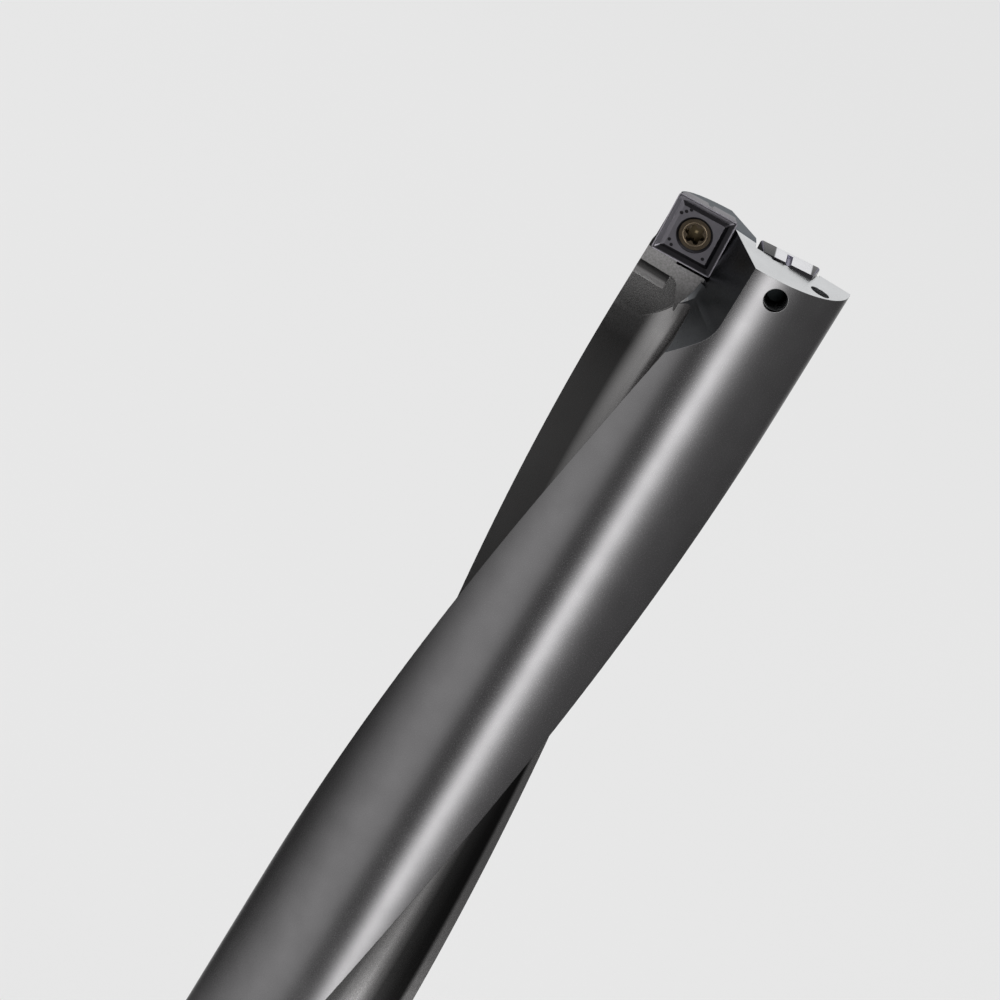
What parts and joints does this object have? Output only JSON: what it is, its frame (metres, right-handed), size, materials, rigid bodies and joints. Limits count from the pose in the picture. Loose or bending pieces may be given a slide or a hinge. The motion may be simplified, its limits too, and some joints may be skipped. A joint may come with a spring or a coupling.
{
  "type": "indexable drill",
  "caption": "Straight-shank indexable drill with a flange, twisted flutes, screwed square inserts at the tip and through coolant.",
  "frame": {"origin": "centre of the shank's rear face", "axes": "+Z along the drill's axis to the tip, -Y out of the shank's clamping flat and the peripheral insert's rake face"},
  "size_m": [0.044, 0.044, 0.2392],
  "materials": {
    "body_steel": "satin dark gunmetal",
    "coated_carbide": "dark violet-grey hard coating",
    "screw_steel": "bronze-brown coated steel"
  },
  "bodies": {
    "root": {"drill_body": "body_steel", "peripheral_insert": "coated_carbide", "centre_insert": "coated_carbide", "peripheral_insert_screw": "screw_steel", "centre_insert_screw": "screw_steel"}
  },
  "joints": []
}
